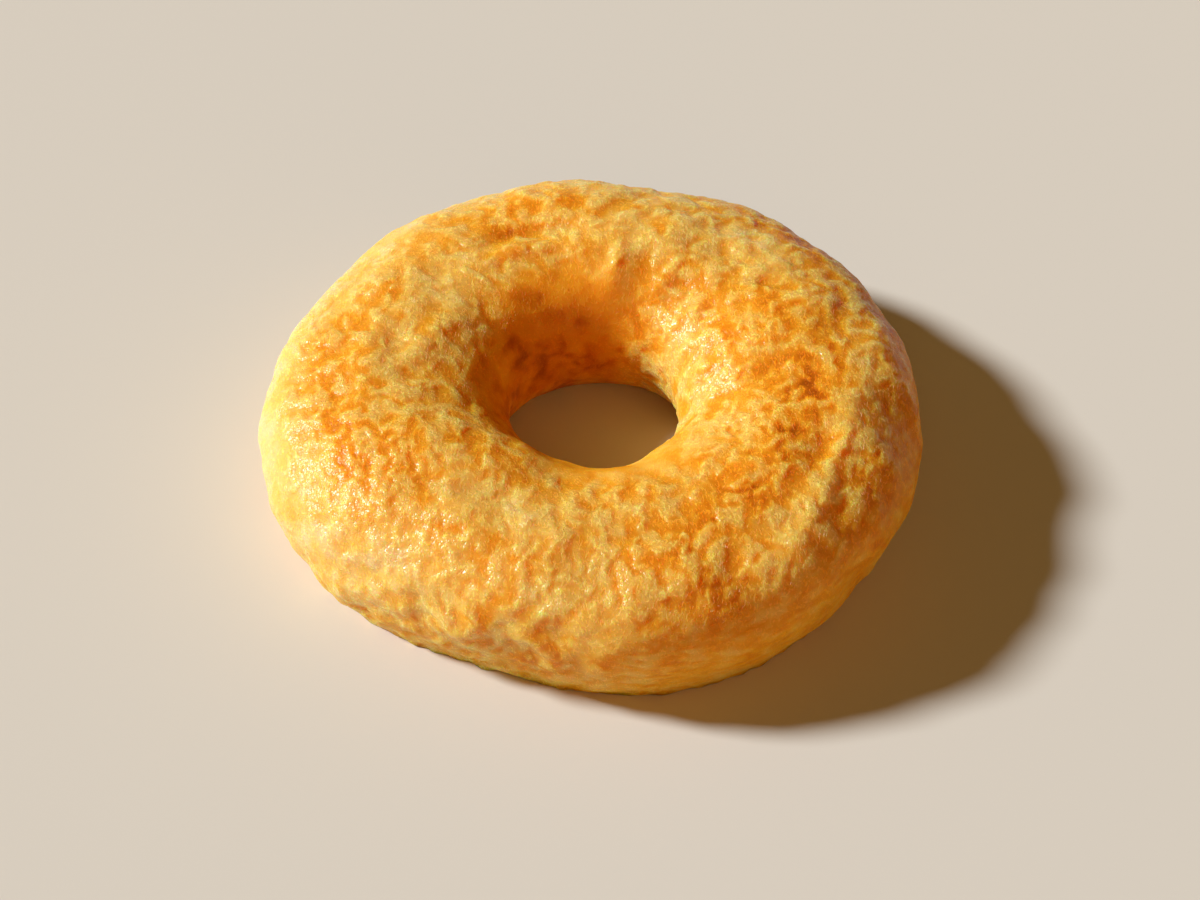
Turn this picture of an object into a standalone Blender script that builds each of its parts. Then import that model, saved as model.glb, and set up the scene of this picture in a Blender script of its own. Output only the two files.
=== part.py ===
"""A baked cheese ring doughnut: one solid, with the lumps, dents and creases of its crust as relief.

Metres, +Z up. The ring lies on its flat underside at z = 0, and the middle of its outline is the origin.
A bearing is the angle about +Z, from +X towards +Y. A turn is the angle round the ring's section: 0 along
the widest line outside, 90 along the top and 180 along the narrowest line of the hole.
"""

import math

import bpy
from mathutils import Vector, noise

# The ring's main sizes
OUTER_RADIUS = 0.0544
HOLE_RADIUS = 0.0147
HOLE_SHIFT = (0.0003, -0.0007)
HEIGHT = 0.0261
BELLY_HEIGHT = 0.0128
CROWN_FULLNESS = 2.08

# How far the foot is tucked in under the belly, outside and in the hole
OUTER_TUCK = 0.0044
OUTER_TUCK_CHANGE = 0.0007
LEAST_TUCKED_BEARING = 286
HOLE_TUCK = 0.0051

# Slow changes round the ring: (waves round the ring, size, bearing of a high point in degrees)
OUTLINE_WAVES = [(2, 0.00153, 0), (3, 0.00058, 72), (4, 0.00088, 27), (5, 0.00045, 55), (6, 0.00028, 47)]
CREST_WAVES = [(1, 0.00035, 110), (2, 0.00035, 40), (3, 0.00030, 95), (5, 0.00025, 12)]
HOLE_WAVES = [(2, 0.00020, 73), (3, 0.00048, 58), (5, 0.00020, 50)]

# The crust's own unevenness: swells as wide as a thumb tip, and dimples as wide as a pea
SWELL_SPACING = 0.0125
SWELL_HEIGHT = 0.00090
DIMPLE_SPACING = 0.0052
DIMPLE_HEIGHT = 0.00042
BASE_FADE_HEIGHT = 0.0030

# Marks that stand out: (bearing, turn, half length, half width, slant, height), with the length
# along the ring at a slant of 0 and across it at 90, and a height below zero for a dent
MARKS = [
    (338, 54, 0.0070, 0.0022, 4, 0.00065),
    (324, 46, 0.0075, 0.0022, 20, 0.00065),
    (309, 33, 0.0065, 0.0022, 30, 0.00060),
    (332, 67, 0.0070, 0.0028, 8, -0.00035),
    (316, 56, 0.0080, 0.0026, 20, -0.00035),
    (314, 18, 0.0230, 0.0070, 4, 0.00160),
    (8, 36, 0.0170, 0.0060, 0, 0.00100),
    (113, 92, 0.0090, 0.0026, -12, -0.00105),
    (118, 108, 0.0085, 0.0022, -8, 0.00065),
    (50, 92, 0.0050, 0.0032, 20, -0.00095),
    (33, 88, 0.0060, 0.0014, 58, -0.00085),
    (21, 66, 0.0065, 0.0024, 70, 0.00060),
    (173, 96, 0.0040, 0.0030, 60, -0.00095),
    (186, 112, 0.0034, 0.0024, 80, -0.00060),
    (228, 72, 0.0036, 0.0030, 30, -0.00075),
    (240, 86, 0.0052, 0.0024, 15, -0.00070),
    (262, 14, 0.0085, 0.0022, 0, -0.00055),
    (300, 12, 0.0090, 0.0018, -4, -0.00045),
    (356, 20, 0.0060, 0.0030, 60, 0.00065),
    (327, 10, 0.0050, 0.0034, 80, 0.00065),
    (252, 2, 0.0050, 0.0014, 48, -0.00045),
    (283, 76, 0.0060, 0.0028, -30, -0.00065),
    (42, 143, 0.0055, 0.0015, 82, 0.00070),
    (61, 134, 0.0045, 0.0015, 82, 0.00065),
    (82, 122, 0.0045, 0.0014, 88, 0.00055),
    (24, 140, 0.0050, 0.0014, 75, 0.00045),
    (7, 149, 0.0045, 0.0014, 70, 0.00045),
]
SECTION_RADIUS = 0.0185

# Steps of the mesh: round the ring, and round its section
RING_STEPS = 144
CROWN_STEPS = 26
WALL_STEPS = 5
BASE_STEPS = 4
SECTION_STEPS = CROWN_STEPS + 2 * WALL_STEPS + BASE_STEPS

# Golden crust, in linear colour
CRUST_COLOUR = (0.80, 0.42, 0.10, 1.0)
CRUST_ROUGHNESS = 0.45
SHARPEST_SMOOTH_ANGLE = 60


def waves(bearing, table):
    """The sum of the slow waves of a table at a bearing in radians."""
    return sum(size * math.cos(count * (bearing - math.radians(high))) for count, size, high in table)


def outer_radius(bearing):
    """The ring's radius at its widest line."""
    return OUTER_RADIUS + waves(bearing, OUTLINE_WAVES)


def hole_radius(bearing):
    """The hole's narrowest radius, seen from the ring's centre: a round hole that is off centre."""
    shift_x, shift_y = HOLE_SHIFT
    along = shift_x * math.cos(bearing) + shift_y * math.sin(bearing)
    aside = shift_x * math.sin(bearing) - shift_y * math.cos(bearing)
    return along + math.sqrt(HOLE_RADIUS**2 - aside**2) + waves(bearing, HOLE_WAVES)


def outer_tuck(bearing):
    """How far the foot stands back from the widest line."""
    return OUTER_TUCK - OUTER_TUCK_CHANGE * math.cos(bearing - math.radians(LEAST_TUCKED_BEARING))


def fuller(value):
    """A sine or cosine, filled out towards a square."""
    return math.copysign(abs(value) ** (2 / CROWN_FULLNESS), value)


def section_point(bearing, step):
    """Radius, height and outward direction of a step round the section at a bearing.

    Steps go from the widest line over the crown to the hole, down it, out along the base and up again.
    """
    outer, inner = outer_radius(bearing), hole_radius(bearing)
    if step <= CROWN_STEPS:
        turn = math.pi * step / CROWN_STEPS
        half_width = (outer - inner) / 2
        crown_height = HEIGHT + waves(bearing, CREST_WAVES) - BELLY_HEIGHT
        across = half_width * fuller(math.cos(turn))
        rise = crown_height * fuller(math.sin(turn))
        outward = Vector((across / half_width**2, rise / crown_height**2)).normalized()
        return (outer + inner) / 2 + across, BELLY_HEIGHT + rise, outward
    step -= CROWN_STEPS
    if step < WALL_STEPS:
        drop = step / WALL_STEPS
        return inner + HOLE_TUCK * drop**2, BELLY_HEIGHT * (1 - drop), Vector((-1, 0))
    step -= WALL_STEPS
    base_inner, base_outer = inner + HOLE_TUCK, outer - outer_tuck(bearing)
    if step < BASE_STEPS:
        share = step / BASE_STEPS
        return base_inner + (base_outer - base_inner) * share, 0.0, Vector((0, -1))
    drop = 1 - (step - BASE_STEPS) / WALL_STEPS
    return outer - (outer - base_outer) * drop**2, BELLY_HEIGHT * (1 - drop), Vector((1, 0))


def turn_at(radius, height, bearing):
    """The turn of a point, in degrees: below 0 on the outer wall and above 180 on the hole's wall."""
    middle = (outer_radius(bearing) + hole_radius(bearing)) / 2
    turn = math.degrees(math.atan2(height - BELLY_HEIGHT, radius - middle))
    return turn + 360 if turn < -90 else turn


def mark_height(bearing, turn, radius):
    """What the marks add to the crust there."""
    height = 0.0
    for mark_bearing, mark_turn, half_length, half_width, slant, size in MARKS:
        apart = (math.degrees(bearing) - mark_bearing + 180) % 360 - 180
        along = math.radians(apart) * radius
        across = math.radians(turn - mark_turn) * SECTION_RADIUS
        lean = math.radians(slant)
        lengthwise = (along * math.cos(lean) + across * math.sin(lean)) / half_length
        sideways = (across * math.cos(lean) - along * math.sin(lean)) / half_width
        height += size * math.exp(-(lengthwise**2) - sideways**2)
    return height


def crust_relief(point, bearing, turn, radius):
    """How far the crust stands out from the plain ring at a point."""
    swell = SWELL_HEIGHT * noise.noise(point / SWELL_SPACING)
    dimple = DIMPLE_HEIGHT * noise.noise(point / DIMPLE_SPACING)
    return swell + dimple + mark_height(bearing, turn, radius)


def ring_point(bearing, step):
    """A point of the crust, at a bearing in radians and a step round the section."""
    radius, height, outward = section_point(bearing, step)
    plain = Vector((radius * math.cos(bearing), radius * math.sin(bearing), height))
    fade = min(height / BASE_FADE_HEIGHT, 1.0)
    relief = crust_relief(plain, bearing, turn_at(radius, height, bearing), radius) * fade
    radius += outward.x * relief
    return Vector((radius * math.cos(bearing), radius * math.sin(bearing), height + outward.y * relief))


def shape_ring(ring):
    """Moves each vertex of a torus to its place on the doughnut, and centres the outline on the origin."""
    for vertex in ring.data.vertices:
        from_axis = math.hypot(vertex.co.x, vertex.co.y)
        bearing = math.atan2(vertex.co.y, vertex.co.x)
        round_section = math.atan2(vertex.co.z, from_axis - 1) % math.tau
        step = round(round_section / math.tau * SECTION_STEPS) % SECTION_STEPS
        vertex.co = ring_point(bearing, step)
    lengthways = [vertex.co.x for vertex in ring.data.vertices]
    sideways = [vertex.co.y for vertex in ring.data.vertices]
    middle = Vector(((min(lengthways) + max(lengthways)) / 2, (min(sideways) + max(sideways)) / 2, 0))
    for vertex in ring.data.vertices:
        vertex.co -= middle


def crust_material():
    """Golden baked cheese crust."""
    material = bpy.data.materials.new("cheese_crust")
    material.use_nodes = True
    shader = material.node_tree.nodes["Principled BSDF"]
    shader.inputs["Base Color"].default_value = CRUST_COLOUR
    shader.inputs["Roughness"].default_value = CRUST_ROUGHNESS
    shader.inputs["Metallic"].default_value = 0.0
    return material


def make_doughnut(parts):
    """The whole doughnut: a torus of radius 1 whose vertices are moved to the crust."""
    bpy.ops.mesh.primitive_torus_add(
        major_segments=RING_STEPS, minor_segments=SECTION_STEPS, major_radius=1.0, minor_radius=0.25
    )
    doughnut = bpy.context.object
    doughnut.name = doughnut.data.name = "doughnut"
    for collection in list(doughnut.users_collection):
        collection.objects.unlink(doughnut)
    parts.objects.link(doughnut)
    shape_ring(doughnut)
    doughnut.data.materials.append(crust_material())
    doughnut.data.shade_smooth()
    doughnut.data.set_sharp_from_angle(angle=math.radians(SHARPEST_SMOOTH_ANGLE))


def main():
    for old in list(bpy.data.objects):
        bpy.data.objects.remove(old)
    parts = bpy.data.collections.new("cheese_ring_doughnut")
    bpy.context.scene.collection.children.link(parts)
    make_doughnut(parts)


main()
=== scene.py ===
"""The finish of a baked cheese ring doughnut: its wrinkled crust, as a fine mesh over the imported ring.

Metres, +Z up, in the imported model's frame. The ring lies flat on z = 0, with its middle at the origin.
A bearing is the angle about +Z, from +X towards +Y. A turn is the angle round the ring's section, in
degrees: 0 along the widest line outside, 90 along the top and 180 along the narrowest line of the hole.
"""

import math

import bmesh
import bpy
import numpy as np
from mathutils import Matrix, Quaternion, Vector, noise


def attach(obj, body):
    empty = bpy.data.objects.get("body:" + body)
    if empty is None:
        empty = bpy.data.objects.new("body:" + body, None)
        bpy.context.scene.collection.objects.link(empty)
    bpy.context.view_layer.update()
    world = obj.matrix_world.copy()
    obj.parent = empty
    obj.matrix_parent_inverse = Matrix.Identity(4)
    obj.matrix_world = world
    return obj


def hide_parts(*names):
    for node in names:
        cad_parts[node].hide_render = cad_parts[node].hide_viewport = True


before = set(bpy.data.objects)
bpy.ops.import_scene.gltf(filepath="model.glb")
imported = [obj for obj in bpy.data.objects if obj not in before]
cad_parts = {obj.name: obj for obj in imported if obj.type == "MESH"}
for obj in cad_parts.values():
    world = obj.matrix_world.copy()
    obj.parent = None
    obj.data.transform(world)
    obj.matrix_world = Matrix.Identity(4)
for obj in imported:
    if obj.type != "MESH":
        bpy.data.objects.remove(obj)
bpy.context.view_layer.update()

NODE = "doughnut"

# The ring's main form, as the solid has it
OUTER_RADIUS = 0.0544
HOLE_RADIUS = 0.0147
HOLE_SHIFT = (0.0003, -0.0007)
HEIGHT = 0.0261
BELLY_HEIGHT = 0.0128
CROWN_FULLNESS = 2.08
OUTER_TUCK = 0.0044
OUTER_TUCK_CHANGE = 0.0007
LEAST_TUCKED_BEARING = 286
HOLE_TUCK = 0.0051
OUTLINE_WAVES = [(2, 0.00153, 0), (3, 0.00058, 72), (4, 0.00088, 27), (5, 0.00045, 55), (6, 0.00028, 47)]
CREST_WAVES = [(1, 0.00035, 110), (2, 0.00035, 40), (3, 0.00030, 95), (5, 0.00025, 12)]
HOLE_WAVES = [(2, 0.00020, 73), (3, 0.00048, 58), (5, 0.00020, 50)]

# The swells, dimples and marks that the solid has too, each mark as
# (bearing, turn, half length, half width, slant, height)
SWELL_SPACING = 0.0125
SWELL_HEIGHT = 0.00090
DIMPLE_SPACING = 0.0052
DIMPLE_HEIGHT = 0.00042
BASE_FADE_HEIGHT = 0.0030
MARKS = [
    (338, 54, 0.0070, 0.0022, 4, 0.00065),
    (324, 46, 0.0075, 0.0022, 20, 0.00065),
    (309, 33, 0.0065, 0.0022, 30, 0.00060),
    (332, 67, 0.0070, 0.0028, 8, -0.00035),
    (316, 56, 0.0080, 0.0026, 20, -0.00035),
    (314, 18, 0.0230, 0.0070, 4, 0.00160),
    (8, 36, 0.0170, 0.0060, 0, 0.00100),
    (113, 92, 0.0090, 0.0026, -12, -0.00105),
    (118, 108, 0.0085, 0.0022, -8, 0.00065),
    (50, 92, 0.0050, 0.0032, 20, -0.00095),
    (33, 88, 0.0060, 0.0014, 58, -0.00085),
    (21, 66, 0.0065, 0.0024, 70, 0.00060),
    (173, 96, 0.0040, 0.0030, 60, -0.00095),
    (186, 112, 0.0034, 0.0024, 80, -0.00060),
    (228, 72, 0.0036, 0.0030, 30, -0.00075),
    (240, 86, 0.0052, 0.0024, 15, -0.00070),
    (262, 14, 0.0085, 0.0022, 0, -0.00055),
    (300, 12, 0.0090, 0.0018, -4, -0.00045),
    (356, 20, 0.0060, 0.0030, 60, 0.00065),
    (327, 10, 0.0050, 0.0034, 80, 0.00065),
    (252, 2, 0.0050, 0.0014, 48, -0.00045),
    (283, 76, 0.0060, 0.0028, -30, -0.00065),
    (42, 143, 0.0055, 0.0015, 82, 0.00070),
    (61, 134, 0.0045, 0.0015, 82, 0.00065),
    (82, 122, 0.0045, 0.0014, 88, 0.00055),
    (24, 140, 0.0050, 0.0014, 75, 0.00045),
    (7, 149, 0.0045, 0.0014, 70, 0.00045),
]
# The radius at which a turn gives a mark's or a spot's distance across
SECTION_RADIUS = 0.0185

# Steps of the fine mesh before it is thinned
RING_STEPS = 900
CROWN_STEPS = 220
WALL_STEPS = 36
BASE_STEPS = 26
SECTION_STEPS = CROWN_STEPS + 2 * WALL_STEPS + BASE_STEPS
MOST_TRIANGLES = 194_000
# The plain torus of radius 1 that it starts from: its section's radius, and the distance that its seams close
TORUS_SECTION = 0.25
SEAM = 0.0001

# The baked skin's relief: soft pillows, folds and fine crinkles, each with its width and its height. The
# folds fan out towards the back, and wander from their places by the drift. A lengthening below 1 draws a
# pattern out along an axis, and one above 1 squeezes it. In the hollows there is a share of the crinkles.
PILLOW_SPACING = 0.0036
PILLOW_HEIGHT = 0.00016
FOLD_SPACING = 0.0017
WIDE_FOLD_SPACING = 0.0027
CREASE_SPACING = 0.0021
FOLD_HEIGHT = 0.00030
FOLD_LENGTHENING = 0.88
FAN = 4
DRIFT_SPACING = 0.0040
DRIFT = 0.0012
CRINKLE_SPACING = 0.0009
CRINKLE_HEIGHT = 0.00008
CRINKLED_IN_HOLLOWS = 0.3

# What each kind of fold adds, and the sums between which the skin rises from flat to folded up
FOLD_SHARE = 0.55
WIDE_FOLD_SHARE = 0.65
CREASE_SHARE = 0.35
CREASE_LEVEL = 0.08
FLAT_SUM = -0.38
FOLDED_SUM = 0.42

# Sides of the wall where the skin baked in its own way, and the two sides of the hole's edge, as bearings
SMOOTH_SIDE = 150
DRY_SIDE = 335
LUMPY_SIDE = 248
HOLE_LEFT = 185
HOLE_RIGHT = 10

# The turn where the wall ends, those between which its foot stops being dry, and those between which the
# skin grows calm into the hole, later by some on its left
WALL_END = 38
DRY_FOOT = -20
MOIST_ABOVE = 5
CALM_FROM = 112
CALM_TO = 145
LATER_ON_LEFT = 18

# What the wall, two of its sides and the hole take from the relief, how much higher the lumpy side's
# pillows are, how the dry side's folds are drawn out or squeezed along each axis, and how dry it is
WALL_TAKES = 0.35
SMOOTH_SIDE_TAKES = 0.55
DRY_SIDE_TAKES = 0.30
HOLE_TAKES = 0.72
LUMPS = 3.5
DRY_SIDE_LENGTHENING = (0.9, 0.9, 1.8)
DRYNESS = 0.75

# The crinkled rim where the wall meets the underside: how high it reaches, how far it stands out, how wide
# its crinkles are, and its even and its crinkled share
RIM_HEIGHT = 0.0012
RIM_WIDTH = 0.00075
RIM_SPACING = 0.0026
RIM_EVEN = 0.5
RIM_CRINKLED = 0.9

# The pores of the underside, the noise at a pore's edge and bottom, and the steps they fade over at the
# underside's own edges
PORE_SPACING = 0.0022
PORE_DEPTH = 0.00030
PORE_EDGE = 0.05
PORE_BOTTOM = 0.5
FADING_STEPS = 4

# Where the crust is toasted, and on its right side, away from the light, browner also as painted shade:
# (bearing, turn, half length, half width, slant, strength)
TOASTED_AND_SHADED = [
    (196, 56, 0.0200, 0.0080, 0, 0.55),
    (176, 45, 0.0090, 0.0050, 0, 0.30),
    (212, 78, 0.0080, 0.0040, 0, 0.30),
    (110, 78, 0.0120, 0.0070, 0, 0.45),
    (121, 134, 0.0060, 0.0032, 0, 0.50),
    (30, 92, 0.0070, 0.0060, 0, 0.45),
    (46, 34, 0.0140, 0.0060, 0, 0.80),
    (14, 24, 0.0090, 0.0050, 0, 0.30),
    (12, 62, 0.0100, 0.0060, 0, 0.35),
    (300, -14, 0.0360, 0.0040, 0, 0.30),
    (212, 58, 0.0080, 0.0050, 0, 0.25),
    (225, 108, 0.0080, 0.0060, 0, 0.25),
    (352, 84, 0.0140, 0.0090, 0, 0.90),
    (5, 137, 0.0130, 0.0070, 0, 0.20),
    (352, 112, 0.0100, 0.0040, 0, 0.30),
    (318, 92, 0.0120, 0.0055, 0, 0.35),
    (301, 80, 0.0110, 0.0050, 0, 0.65),
    (335, 14, 0.0350, 0.0080, 0, 0.40),
    (340, 29, 0.0150, 0.0035, 0, 0.30),
    (298, 31, 0.0060, 0.0040, 0, 0.30),
    (329, 66, 0.0130, 0.0035, 0, 0.40),
    (286, 52, 0.0080, 0.0070, 0, 0.50),
    (288, 22, 0.0090, 0.0060, 0, 0.28),
    (225, 84, 0.0040, 0.0030, 0, 0.30),
    (225, 120, 0.0060, 0.0030, 0, 0.25),
    (255, 92, 0.0050, 0.0030, 0, 0.30),
    (248, 50, 0.0030, 0.0030, 0, 0.30),
    (5, 8, 0.0160, 0.0080, 0, 0.35),
]
# Painted shade on the hole's wall, which the light does not reach: how much it browns the wall, the turns
# between which it sets in, and the bearing where it is darkest, on the side away from the light
HOLE_PAINTED_SHADE = 0.85
HOLE_SHADE_FROM = 125
HOLE_SHADE_TO = 172
HOLE_SHADE_DARKEST = 172
# How much the rim and the underside are toasted, and the most that any place is browned, painted shade
# included
RIM_TOASTED = 1.4
UNDERSIDE_TOASTED = 0.9
MOST_BROWNED = 1.2
# Where it is paler, in the same way: partly dough that browned less, and partly painted highlight on the
# left wall that faces the light, along the ridge on the right that catches it, and inside the hole where it
# is lit
PALE = [
    (150, 8, 0.0420, 0.0120, 0, 0.68),
    (195, 10, 0.0280, 0.0110, 0, 0.65),
    (232, 24, 0.0120, 0.0060, 0, 0.40),
    (272, 38, 0.0100, 0.0060, 0, 0.28),
    (222, 3, 0.0120, 0.0080, 0, 0.30),
    (262, 30, 0.0130, 0.0060, 0, 0.18),
    (242, 82, 0.0100, 0.0065, 0, 0.70),
    (44, 74, 0.0080, 0.0060, 0, 0.55),
    (170, 88, 0.0090, 0.0050, 0, 0.25),
    (68, 60, 0.0070, 0.0060, 0, 0.30),
    (138, 98, 0.0080, 0.0080, 0, 0.45),
    (268, 72, 0.0070, 0.0060, 0, 0.25),
    (338, 54, 0.0080, 0.0026, 4, 0.36),
    (322, 44, 0.0100, 0.0026, 22, 0.32),
    (306, 32, 0.0070, 0.0026, 32, 0.36),
    (2, 47, 0.0080, 0.0035, 0, 0.40),
    (338, 146, 0.0120, 0.0060, 0, 0.14),
    (25, 156, 0.0130, 0.0060, 0, 0.26),
    (75, 88, 0.0120, 0.0060, 0, 0.22),
    (88, 106, 0.0080, 0.0055, 0, 0.38),
]


def waves(bearing, table):
    """The sum of the slow waves of a table at a bearing in radians."""
    return sum(size * np.cos(count * (bearing - math.radians(high))) for count, size, high in table)


def outer_radius(bearing):
    """The ring's radius at its widest line."""
    return OUTER_RADIUS + waves(bearing, OUTLINE_WAVES)


def hole_radius(bearing):
    """The hole's narrowest radius, seen from the ring's centre."""
    shift_x, shift_y = HOLE_SHIFT
    along = shift_x * np.cos(bearing) + shift_y * np.sin(bearing)
    aside = shift_x * np.sin(bearing) - shift_y * np.cos(bearing)
    return along + np.sqrt(HOLE_RADIUS**2 - aside**2) + waves(bearing, HOLE_WAVES)


def outer_tuck(bearing):
    """How far the foot stands back from the widest line."""
    return OUTER_TUCK - OUTER_TUCK_CHANGE * np.cos(bearing - math.radians(LEAST_TUCKED_BEARING))


def fuller(value):
    """A sine or cosine, filled out towards a square."""
    return np.sign(value) * np.abs(value) ** (2 / CROWN_FULLNESS)


def section(bearing, step):
    """Radius, height and outward direction of steps round the section, as arrays.

    Steps go from the widest line over the crown to the hole, down it, out along the base and up again.
    """
    outer, inner = outer_radius(bearing), hole_radius(bearing)
    turn = np.clip(math.pi * step / CROWN_STEPS, 0, math.pi)
    half_width = (outer - inner) / 2
    crown_height = HEIGHT + waves(bearing, CREST_WAVES) - BELLY_HEIGHT
    across, rise = half_width * fuller(np.cos(turn)), crown_height * fuller(np.sin(turn))
    lean = np.hypot(across / half_width**2, rise / crown_height**2)
    radius, height = (outer + inner) / 2 + across, BELLY_HEIGHT + rise
    out_across, out_up = across / half_width**2 / lean, rise / crown_height**2 / lean

    drop = np.clip((step - CROWN_STEPS) / WALL_STEPS, 0, 1)
    in_hole = (step > CROWN_STEPS) & (step < CROWN_STEPS + WALL_STEPS)
    radius = np.where(in_hole, inner + HOLE_TUCK * drop**2, radius)
    height = np.where(in_hole, BELLY_HEIGHT * (1 - drop), height)

    share = np.clip((step - CROWN_STEPS - WALL_STEPS) / BASE_STEPS, 0, 1)
    foot_in, foot_out = inner + HOLE_TUCK, outer - outer_tuck(bearing)
    below = (step >= CROWN_STEPS + WALL_STEPS) & (step < SECTION_STEPS - WALL_STEPS)
    radius = np.where(below, foot_in + (foot_out - foot_in) * share, radius)
    height = np.where(below, 0.0, height)

    drop = np.clip((SECTION_STEPS - step) / WALL_STEPS, 0, 1)
    outside = step >= SECTION_STEPS - WALL_STEPS
    radius = np.where(outside, outer - (outer - foot_out) * drop**2, radius)
    height = np.where(outside, BELLY_HEIGHT * (1 - drop), height)

    out_across = np.select([in_hole, below, outside], [-1.0, 0.0, 1.0], out_across)
    out_up = np.select([in_hole | outside, below], [0.0, -1.0], out_up)
    return radius, height, out_across, out_up


def turn_at(radius, height, bearing):
    """The turn of points, in degrees: below 0 on the outer wall and above 180 on the hole's wall."""
    middle = (outer_radius(bearing) + hole_radius(bearing)) / 2
    turn = np.degrees(np.arctan2(height - BELLY_HEIGHT, radius - middle))
    return np.where(turn < -90, turn + 360, turn)


def spots(table, bearing, turn, radius):
    """The sum of a table's soft oval spots: (bearing, turn, half length, half width, slant, size)."""
    total = np.zeros_like(bearing)
    for spot_bearing, spot_turn, half_length, half_width, slant, size in table:
        apart = (np.degrees(bearing) - spot_bearing + 180) % 360 - 180
        along = np.radians(apart) * radius
        across = np.radians(turn - spot_turn) * SECTION_RADIUS
        lean = math.radians(slant)
        lengthwise = (along * math.cos(lean) + across * math.sin(lean)) / half_length
        sideways = (across * math.cos(lean) - along * math.sin(lean)) / half_width
        total += size * np.exp(-(lengthwise**2) - sideways**2)
    return total


def noise_at(points, spacing, place=(0, 0, 0)):
    """Smooth noise from -1 to 1, with features as wide as the spacing, at rows of points."""
    return np.array([noise.noise(Vector(point)) for point in points / spacing + np.array(place)])


def stretch(value, low, high):
    """0 below low, 1 above high, with a smooth rise between them."""
    share = np.clip((value - low) / (high - low), 0, 1)
    return share * share * (3 - 2 * share)


def facing(bearing, degrees, low, high):
    """How near bearings are to one in degrees, from 0 to 1, by limits on the cosine between them."""
    return stretch(np.cos(bearing - math.radians(degrees)), low, high)


def folded(points):
    """How far the skin is folded up, from 0 to 1, at rows of points."""
    drift = np.stack([noise_at(points, DRIFT_SPACING, (7, 3, n)) for n in (0, 5, 9)], axis=1)
    points = points + DRIFT * drift
    folds = FOLD_SHARE * noise_at(points, FOLD_SPACING, (6, 1, 3))
    folds += WIDE_FOLD_SHARE * noise_at(points, WIDE_FOLD_SPACING, (2, 6, 6))
    folds += CREASE_SHARE * np.abs(noise_at(points, CREASE_SPACING, (1, 9, 2))) - CREASE_LEVEL
    return stretch(folds, FLAT_SUM, FOLDED_SUM)


def wrinkles(points, bearing, turn):
    """The baked skin's height, how far it is folded up, how lively it is and how moist, at rows of points."""
    wall = 1 - stretch(turn, 0, WALL_END)
    smooth_side = wall * facing(bearing, SMOOTH_SIDE, 0.55, 0.90)
    dry_side = wall * facing(bearing, DRY_SIDE, 0.10, 0.60)
    lumpy_side = wall * facing(bearing, LUMPY_SIDE, 0.70, 0.95)
    in_hole = stretch(turn - LATER_ON_LEFT * facing(bearing, HOLE_LEFT, 0.4, 0.9), CALM_FROM, CALM_TO)
    in_hole = in_hole * (1 - facing(bearing, HOLE_RIGHT, 0.3, 0.8))
    lively = (1 - WALL_TAKES * (wall - lumpy_side)) * (1 - SMOOTH_SIDE_TAKES * smooth_side)
    lively = lively * (1 - DRY_SIDE_TAKES * dry_side) * (1 - HOLE_TAKES * in_hole)

    fanned = points[:, 0] * (1 - FAN * points[:, 1])
    folds = folded(np.stack([fanned, points[:, 1] * FOLD_LENGTHENING, points[:, 2]], axis=1))
    folds = folds + (folded(points * DRY_SIDE_LENGTHENING) - folds) * dry_side
    height = PILLOW_HEIGHT * (1 + LUMPS * lumpy_side) * noise_at(points, PILLOW_SPACING, (2, 8, 5))
    height += FOLD_HEIGHT * (folds - 0.5)
    crinkled = CRINKLED_IN_HOLLOWS + (1 - CRINKLED_IN_HOLLOWS) * folds
    height += CRINKLE_HEIGHT * noise_at(points, CRINKLE_SPACING, (4, 4, 8)) * crinkled
    moist = 1 - DRYNESS * np.maximum(dry_side, 1 - stretch(turn, DRY_FOOT, MOIST_ABOVE))
    return height * lively, folds, lively, moist


def crinkled_rim(plain, turn, height, out_up):
    """How far the rim stands out at the foot of the outer wall, at rows of points of the plain ring."""
    outer_wall = (turn < 90) & (out_up > -0.5)
    rim = np.where(outer_wall, np.exp(-((height / RIM_HEIGHT) ** 2)), 0)
    return rim * (RIM_EVEN + RIM_CRINKLED * noise_at(plain, RIM_SPACING, (3, 3, 3)))


def underside(step):
    """1 on the underside and 0 elsewhere, as an array, with a smooth change at its edges."""
    first, last = CROWN_STEPS + WALL_STEPS, SECTION_STEPS - WALL_STEPS
    return stretch(step, first, first + FADING_STEPS) * (1 - stretch(step, last - FADING_STEPS, last))


def toasting_and_shade(bearing, turn, radius, rim, under):
    """How browned the crust is by toasting and by painted shade, as an array."""
    # Painted shade: the hole's wall is browned where the light does not reach it, most on its left side
    in_hole = stretch(turn, HOLE_SHADE_FROM, HOLE_SHADE_TO) * facing(bearing, HOLE_SHADE_DARKEST, -0.75, 0.35)
    toasted_and_shaded = spots(TOASTED_AND_SHADED, bearing, turn, radius) + HOLE_PAINTED_SHADE * in_hole
    return np.clip(toasted_and_shaded + RIM_TOASTED * rim + UNDERSIDE_TOASTED * under, 0, MOST_BROWNED)


def wrapped_ring():
    """A grid wrapped round into a closed torus of radius 1, as a bmesh.

    It isn't a spun section, because a spin puts its faces in another order at each run.
    """
    bm = bmesh.new()
    bmesh.ops.create_grid(bm, x_segments=RING_STEPS, y_segments=SECTION_STEPS, size=0.5)
    for vertex in bm.verts:
        bearing, round_section = vertex.co.x * math.tau, vertex.co.y * math.tau
        radius = 1 + TORUS_SECTION * math.cos(round_section)
        height = TORUS_SECTION * math.sin(round_section)
        vertex.co = (radius * math.cos(bearing), radius * math.sin(bearing), height)
    bmesh.ops.remove_doubles(bm, verts=bm.verts, dist=SEAM)
    bmesh.ops.recalc_face_normals(bm, faces=bm.faces)
    return bm


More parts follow.
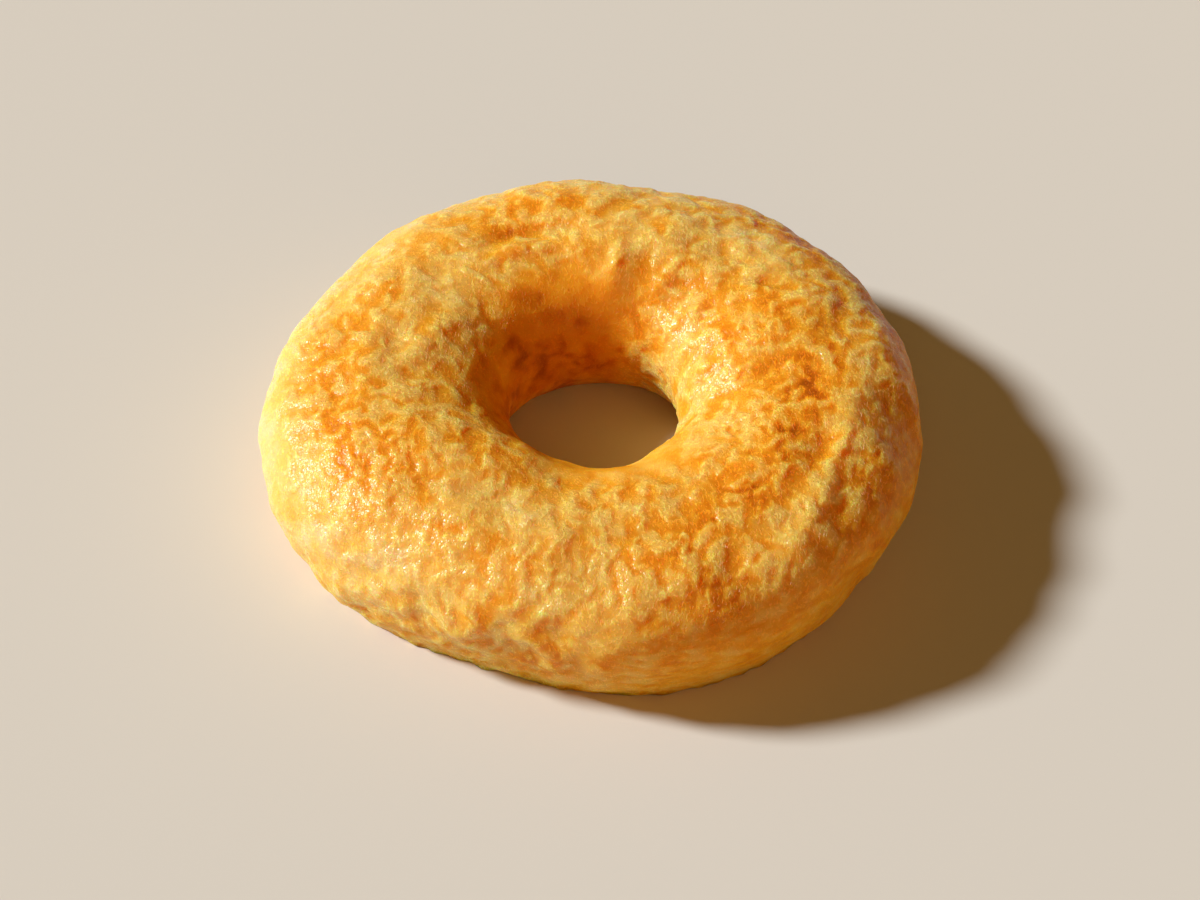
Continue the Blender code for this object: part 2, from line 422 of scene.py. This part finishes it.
def places_on_ring(mesh):
    """The bearing in radians and the step round the section of each vertex of the plain torus."""
    places = np.empty(len(mesh.vertices) * 3, dtype=np.float32)
    mesh.vertices.foreach_get("co", places)
    places = places.reshape(-1, 3).astype(float)
    bearing = np.arctan2(places[:, 1], places[:, 0])
    round_section = np.arctan2(places[:, 2], np.hypot(places[:, 0], places[:, 1]) - 1) % math.tau
    return bearing, np.round(round_section / math.tau * SECTION_STEPS) % SECTION_STEPS


def make_crust():
    """The whole doughnut, as one closed mesh."""
    bm = wrapped_ring()
    mesh = bpy.data.meshes.new("crust")
    bm.to_mesh(mesh)
    bm.free()
    bearing, step = places_on_ring(mesh)
    radius, height, out_across, out_up = section(bearing, step)
    turn = turn_at(radius, height, bearing)
    across_x, across_y = np.cos(bearing), np.sin(bearing)
    plain = np.stack([radius * across_x, radius * across_y, height], axis=1)
    outward = np.stack([out_across * across_x, out_across * across_y, out_up], axis=1)

    fade = np.clip(height / BASE_FADE_HEIGHT, 0, 1)
    relief = SWELL_HEIGHT * noise_at(plain, SWELL_SPACING) + DIMPLE_HEIGHT * noise_at(plain, DIMPLE_SPACING)
    relief += spots(MARKS, bearing, turn, radius)
    form = plain + outward * (relief * fade)[:, None]
    middle = (form.min(axis=0) + form.max(axis=0)) / 2
    middle[2] = 0

    skin, folds, lively, moist = wrinkles(form, bearing, turn)
    form = form + outward * (skin * fade)[:, None]
    rim = crinkled_rim(plain, turn, height, out_up)
    form[:, 0] += RIM_WIDTH * rim * across_x
    form[:, 1] += RIM_WIDTH * rim * across_y
    under = underside(step)
    pores = stretch(noise_at(plain, PORE_SPACING, (1, 5, 2)), PORE_EDGE, PORE_BOTTOM)
    form[:, 2] += under * PORE_DEPTH * pores
    form -= middle
    mesh.vertices.foreach_set("co", form.astype(np.float32).ravel())
    mesh.update()

    toasted_and_shaded = toasting_and_shade(bearing, turn, radius, rim, under)
    pale = np.clip(spots(PALE, bearing, turn, radius), 0, 1)
    skin_facts = {"toast_and_shade": toasted_and_shaded, "pale": pale, "fold": folds, "lively": lively, "moist": moist}
    for name, values in skin_facts.items():
        layer = mesh.attributes.new(name, "FLOAT", "POINT")
        layer.data.foreach_set("value", values.astype(np.float32))
    crust = bpy.data.objects.new("crust", mesh)
    bpy.context.scene.collection.objects.link(crust)
    thin_out(crust)
    crust.data.shade_smooth()
    return crust


def thin_out(piece):
    """Thins a mesh to the most triangles that a piece may have, flat places first."""
    triangles = 2 * len(piece.data.polygons)
    modifier = piece.modifiers.new("thin", "DECIMATE")
    modifier.ratio = MOST_TRIANGLES / triangles
    with bpy.context.temp_override(object=piece, active_object=piece, selected_objects=[piece]):
        bpy.ops.object.modifier_apply(modifier=modifier.name)


def linear(hex_colour):
    """A linear RGBA colour from an sRGB one such as #E8A040."""
    parts = [int(hex_colour[start:start + 2], 16) / 255 for start in (1, 3, 5)]
    return [p / 12.92 if p <= 0.04045 else ((p + 0.055) / 1.055) ** 2.4 for p in parts] + [1.0]


def add_node(tree, kind, settings=None, inputs=None):
    """A new node with its settings, and its inputs set to values or linked to other nodes or sockets."""
    node = tree.nodes.new(kind)
    for name, value in (settings or {}).items():
        setattr(node, name, value)
    for name, value in (inputs or {}).items():
        if isinstance(value, bpy.types.Node):
            value = value.outputs[0]
        if isinstance(value, bpy.types.NodeSocket):
            tree.links.new(value, node.inputs[name])
        else:
            node.inputs[name].default_value = value
    return node


def new_material(name):
    """A material with its node tree and its Principled shader."""
    material = bpy.data.materials.new(name)
    material.use_nodes = True
    return material, material.node_tree, material.node_tree.nodes["Principled BSDF"]


# Colours of the crust from barely baked to toasted, each with its browning
BROWNING = [
    (0.00, "#F8D89C"),
    (0.20, "#FBCE6A"),
    (0.40, "#FBBE50"),
    (0.56, "#FAAA28"),
    (0.74, "#F19616"),
    (0.88, "#DC780C"),
    (1.00, "#B45806"),
]

# The patterns of the crust's colour and its fine skin: browned blotches 6 mm wide, pebbles of 1.1 mm, and
# creases that the pebbles bend. The real creases are about 0.1 mm wide, too fine to show, so they are drawn
# about 0.4 mm wide and up to 1 mm long.
BLOTCH_SIZE = 0.0060
PEBBLE_SIZE = 0.0011
CREASE_WIDTH = 0.00038
CREASE_LENGTHENING = (1.0, 0.50, 0.8)
CREASE_BENDING = 0.0006

# How uneven the fine skin is in a hollow, how much more so on a fold, and what pebbles and creases add
UNEVEN_HOLLOW = 0.62
UNEVEN_FOLD = 0.42
PEBBLE_SHARE = 1.4
CREASE_MARKS = 0.9

# The browning of a hollow, what toasting (some of it painted shade), pale places (some of them painted
# highlight) and blotches change in it, the most of it that shows, and what a fold and the fine skin take
# away from that: the folds paler as a painted sheen, the hollows so browner as painted shade, and the
# creases paler as painted glints
HOLLOW_BROWNING = 0.22
TOAST_AND_SHADE_ADDS = 0.36
PALE_TAKES = 0.44
BLOTCH_ADDS = 0.60
BROWNING_SHOWN = 1.12
FOLD_PAINTED_SHEEN = 0.62
SKIN_PAINTED_GLINTS = 0.16

# How light the crust's colour is, and how much lighter where the fine skin stands up and darker between:
# painted light and shade of the skin's pebbles, and painted glints on its creases
COLOUR_LIGHT = 0.86
SKIN_PAINTED_LIGHT = 0.30

# How deep the fine skin is for the soft shade of the crust, and for the glints of the film on it
SHADE_DEPTH = 0.00020
GLINT_DEPTH = 0.00036


def crust_material():
    """Cheese dough, baked: a thin, wrinkled skin, moist with fat, over an airy crumb that light goes into.

    So its shadows are soft and warm and its skin glints. Its colour also has painted light in it: its folds
    are painted creamier as a sheen, its hollows browner as shade, and its creases lighter as glints.
    """
    material, tree, shader = new_material("baked_cheese_crust")
    times = {"operation": "MULTIPLY"}
    times_plus = {"operation": "MULTIPLY_ADD"}
    place = add_node(tree, "ShaderNodeTexCoord").outputs["Object"]
    toast_and_shade, pale, fold, lively, moist = (
        add_node(tree, "ShaderNodeAttribute", {"attribute_name": name}).outputs["Fac"]
        for name in ("toast_and_shade", "pale", "fold", "lively", "moist")
    )

    # The fine skin, from about -0.3 between its pebbles to 1 along its creases
    pebble = add_node(
        tree, "ShaderNodeTexNoise",
        inputs={"Vector": place, "Scale": 1 / PEBBLE_SIZE, "Detail": 2, "Roughness": 0.6},
    )
    bent = add_node(
        tree, "ShaderNodeVectorMath", times_plus,
        {0: pebble.outputs["Color"], 1: (CREASE_BENDING, CREASE_BENDING, CREASE_BENDING), 2: place},
    )
    drawn_out = add_node(tree, "ShaderNodeVectorMath", times, {0: bent, 1: CREASE_LENGTHENING})
    crease = add_node(
        tree, "ShaderNodeTexNoise",
        inputs={"Vector": drawn_out, "Scale": 1 / CREASE_WIDTH, "Detail": 1, "Roughness": 0.5},
    )
    crease = add_node(
        tree, "ShaderNodeMapRange", {"interpolation_type": "SMOOTHSTEP"},
        {"Value": crease, "From Min": 0.54, "From Max": 0.62},
    )
    lifted = add_node(tree, "ShaderNodeMath", times, {0: fold, 1: lively})
    uneven = add_node(tree, "ShaderNodeMath", times_plus, {0: lifted, 1: UNEVEN_FOLD, 2: UNEVEN_HOLLOW})
    uneven = add_node(tree, "ShaderNodeMath", times, {0: uneven, 1: lively})
    skin = add_node(tree, "ShaderNodeMath", times_plus, {0: pebble, 1: PEBBLE_SHARE, 2: -PEBBLE_SHARE / 2})
    skin = add_node(tree, "ShaderNodeMath", times_plus, {0: crease, 1: CREASE_MARKS, 2: skin})
    skin = add_node(tree, "ShaderNodeMath", times, {0: skin, 1: uneven})

    # The hollows brown, more where toasted and where shade is painted, and less where pale and where
    # highlight is painted. What is raised keeps little of it: paler folds and creases are a painted sheen and
    # painted glints, and the browner hollows painted shade.
    blotch = add_node(
        tree, "ShaderNodeTexNoise",
        inputs={"Vector": place, "Scale": 1 / BLOTCH_SIZE, "Detail": 2, "Roughness": 0.5},
    )
    hollow = add_node(tree, "ShaderNodeMath", times_plus, {0: toast_and_shade, 1: TOAST_AND_SHADE_ADDS, 2: HOLLOW_BROWNING})
    hollow = add_node(tree, "ShaderNodeMath", times_plus, {0: pale, 1: -PALE_TAKES, 2: hollow})
    hollow = add_node(tree, "ShaderNodeMath", times_plus, {0: blotch, 1: BLOTCH_ADDS, 2: hollow})
    shown = add_node(tree, "ShaderNodeMath", times_plus, {0: lifted, 1: -FOLD_PAINTED_SHEEN, 2: BROWNING_SHOWN})
    shown = add_node(tree, "ShaderNodeMath", times_plus, {0: skin, 1: -SKIN_PAINTED_GLINTS, 2: shown})
    browning = add_node(tree, "ShaderNodeMath", times, {0: hollow, 1: shown})
    ramp = add_node(tree, "ShaderNodeValToRGB", inputs={"Fac": browning})
    stops = ramp.color_ramp.elements
    while len(stops) < len(BROWNING):
        stops.new(1.0)
    for stop, (position, colour) in zip(stops, BROWNING):
        stop.position = position
        stop.color = linear(colour)
    # The fine skin's pebbles and creases are painted lighter and the gaps between them darker: painted light,
    # shade and glints of the skin
    light = add_node(tree, "ShaderNodeMath", times_plus, {0: skin, 1: SKIN_PAINTED_LIGHT, 2: COLOUR_LIGHT})
    colour = add_node(
        tree, "ShaderNodeVectorMath", {"operation": "SCALE"}, {0: ramp.outputs["Color"], "Scale": light},
    )
    tree.links.new(colour.outputs["Vector"], shader.inputs["Base Color"])

    # The skin itself is dull and shades softly, and the film of fat on it glints from every crease and pebble
    shade = add_node(
        tree, "ShaderNodeBump", inputs={"Height": skin, "Strength": 1.0, "Distance": SHADE_DEPTH},
    )
    tree.links.new(shade.outputs["Normal"], shader.inputs["Normal"])
    glint = add_node(
        tree, "ShaderNodeBump", inputs={"Height": skin, "Strength": 1.0, "Distance": GLINT_DEPTH},
    )
    tree.links.new(glint.outputs["Normal"], shader.inputs["Coat Normal"])
    film = add_node(tree, "ShaderNodeMath", times, {0: uneven, 1: moist})
    tree.links.new(film.outputs[0], shader.inputs["Coat Weight"])
    shader.inputs["Coat Roughness"].default_value = 0.27
    shader.inputs["Coat IOR"].default_value = 1.42
    shader.inputs["Roughness"].default_value = 0.55
    shader.inputs["IOR"].default_value = 1.45
    shader.inputs["Specular IOR Level"].default_value = 0.12
    shader.inputs["Specular Tint"].default_value = linear("#FFE3B0")
    # The crumb lets red light about 6 mm in, green a third of that and blue hardly at all
    shader.inputs["Subsurface Weight"].default_value = 1.0
    shader.inputs["Subsurface Radius"].default_value = (1.0, 0.38, 0.09)
    shader.inputs["Subsurface Scale"].default_value = 0.0060
    return material


def floor_material():
    """Emulsion paint, rolled on: pale, matt and even, so that nothing shows on it but the shadow."""
    material, tree, shader = new_material("rolled_emulsion_paint")
    shader.inputs["Base Color"].default_value = linear("#D5D3CB")
    shader.inputs["Roughness"].default_value = 0.85
    shader.inputs["Specular IOR Level"].default_value = 0.2
    return material


# The view: the angle down to the ring, the distance to a point of its foot, the turn about the line of
# sight, the lens and its frame in millimetres, and how far right of that point and above it the view aims
CAMERA_ELEVATION = 48.5
CAMERA_DISTANCE = 0.408
CAMERA_ROLL = 1.23
LENS = 70
FRAME_WIDTH = 36
RING_POINT = (0.00051, 0.00053, 0)
AIM_RIGHT = 0.00119
AIM_UP = 0.00200

# The lights, as bearing, elevation, softness, power and colour: the window's, low from the left, and a
# soft one in front. The room's own light is warm and dim, and the floor reaches 2 m each way.
WINDOW_LIGHT = (171, 33, 9, 4.70, "#FFFFFF")
FRONT_LIGHT = (284, 22, 60, 0.60, "#FFD08A")
ROOM_COLOUR = "#FFBC64"
ROOM_LIGHT = 0.13
FLOOR_REACH = 2.0


def make_camera():
    """The view of the ring from the front and above."""
    elevation = math.radians(CAMERA_ELEVATION)
    back = Vector((0, -math.cos(elevation), math.sin(elevation)))
    up = Vector((0, math.sin(elevation), math.cos(elevation)))
    point = Vector(RING_POINT)
    camera = bpy.data.objects.new("camera", bpy.data.cameras.new("camera"))
    camera.data.lens = LENS
    camera.data.sensor_width = FRAME_WIDTH
    camera.data.clip_start = 0.01
    camera.location = point + back * CAMERA_DISTANCE
    aim = point + Vector((AIM_RIGHT, 0, 0)) + up * AIM_UP
    turn = (aim - camera.location).to_track_quat("-Z", "Y")
    camera.rotation_mode = "QUATERNION"
    camera.rotation_quaternion = turn @ Quaternion((0, 0, 1), math.radians(CAMERA_ROLL))
    bpy.context.scene.collection.objects.link(camera)
    bpy.context.scene.camera = camera


def make_light(name, bearing, elevation, softness, power, colour):
    """A far light, of which the bearing and the elevation are where it comes from."""
    light = bpy.data.objects.new(name, bpy.data.lights.new(name, "SUN"))
    around, above = math.radians(bearing), math.radians(elevation)
    away = Vector((math.cos(around) * math.cos(above), math.sin(around) * math.cos(above), math.sin(above)))
    light.location = away
    light.rotation_mode = "QUATERNION"
    light.rotation_quaternion = (-away).to_track_quat("-Z", "Y")
    light.data.angle = math.radians(softness)
    light.data.energy = power
    light.data.color = linear(colour)[:3]
    bpy.context.scene.collection.objects.link(light)


def make_stage():
    """The floor that the ring lies on, the room round it, and the lights."""
    bm = bmesh.new()
    bmesh.ops.create_grid(bm, x_segments=1, y_segments=1, size=FLOOR_REACH)
    mesh = bpy.data.meshes.new("floor")
    bm.to_mesh(mesh)
    bm.free()
    floor = bpy.data.objects.new("floor", mesh)
    bpy.context.scene.collection.objects.link(floor)
    floor.data.materials.append(floor_material())
    world = bpy.data.worlds.new("room")
    bpy.context.scene.world = world
    world.use_nodes = True
    background = world.node_tree.nodes["Background"]
    background.inputs["Color"].default_value = linear(ROOM_COLOUR)
    background.inputs["Strength"].default_value = ROOM_LIGHT
    make_light("window_light", *WINDOW_LIGHT)
    make_light("front_light", *FRONT_LIGHT)
    bpy.context.scene.view_settings.view_transform = "Standard"


def main():
    make_camera()
    make_stage()
    crust = make_crust()
    crust.data.materials.append(crust_material())
    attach(crust, "root")
    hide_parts(NODE)


main()
